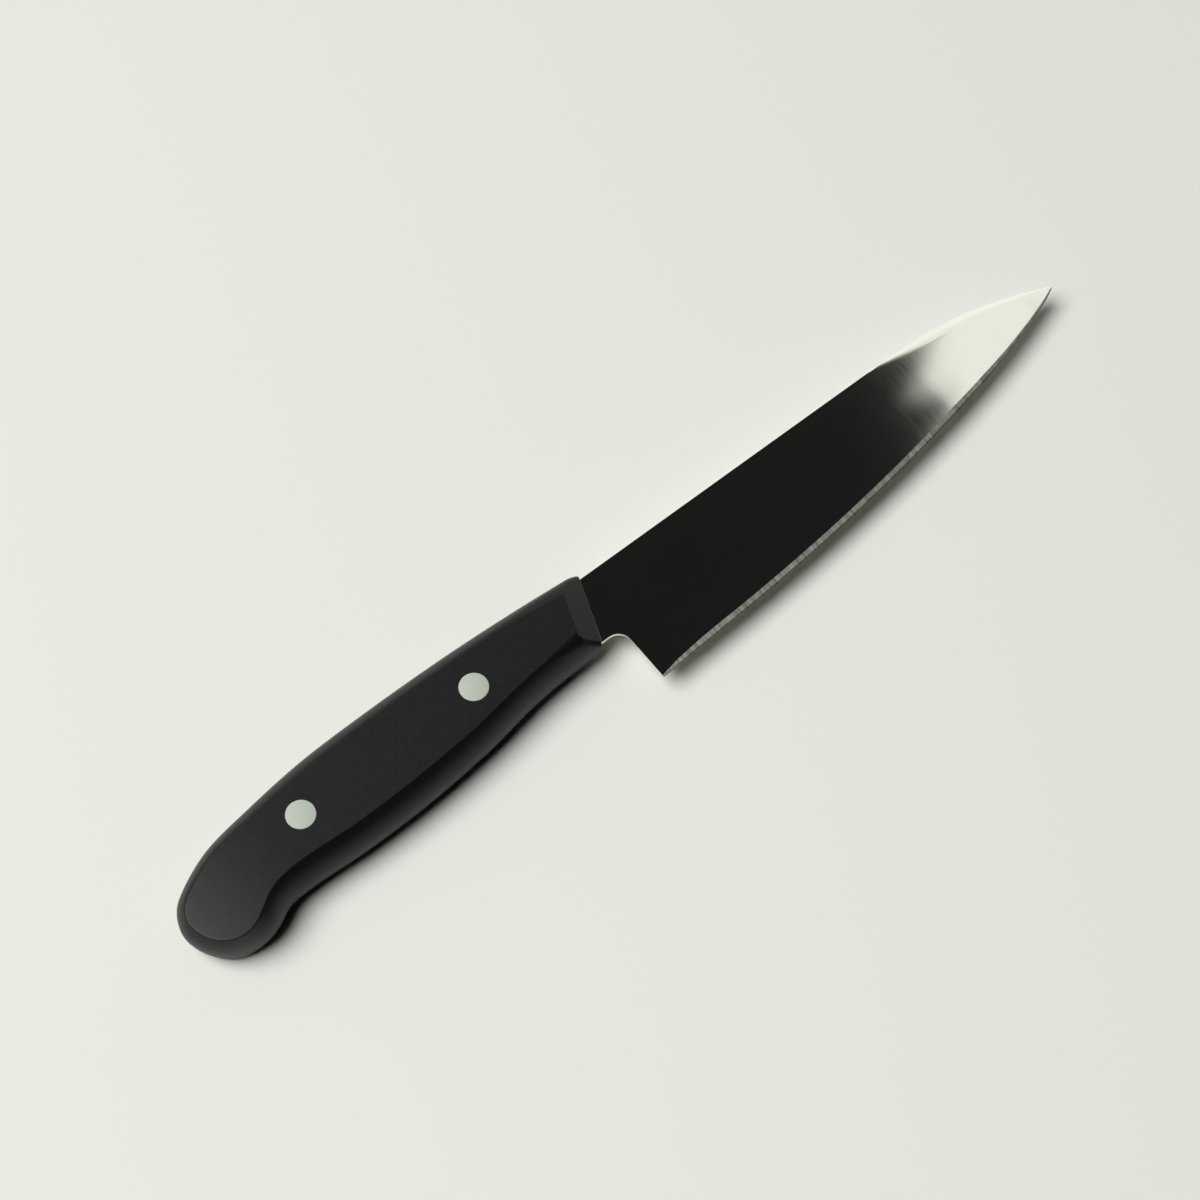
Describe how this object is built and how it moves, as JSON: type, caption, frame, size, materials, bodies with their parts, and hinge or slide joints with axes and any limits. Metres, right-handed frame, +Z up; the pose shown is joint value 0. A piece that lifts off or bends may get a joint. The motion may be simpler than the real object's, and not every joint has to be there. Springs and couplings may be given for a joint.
{
  "type": "petty knife",
  "caption": "Slim kitchen petty knife with a pointed ground blade, a rounded choil behind the heel and a riveted black resin handle that curves down at the butt.",
  "frame": {"origin": "centre of the box's underside, on the surface that the knife lies on", "axes": "+X from butt to tip, +Y from edge to spine, +Z up out of the right side of the knife"},
  "size_m": [0.2244, 0.0304, 0.0125],
  "materials": {
    "blade_steel": "fine satin, with a brighter ground edge",
    "handle_resin": "matte black, fine grained",
    "rivet_metal": "satin, sanded flush with the handle"
  },
  "bodies": {
    "root": {"blade": "blade_steel", "right_scale": "handle_resin", "left_scale": "handle_resin", "front_rivet_pin": "rivet_metal", "front_rivet_socket": "rivet_metal", "rear_rivet_pin": "rivet_metal", "rear_rivet_socket": "rivet_metal"}
  },
  "joints": []
}
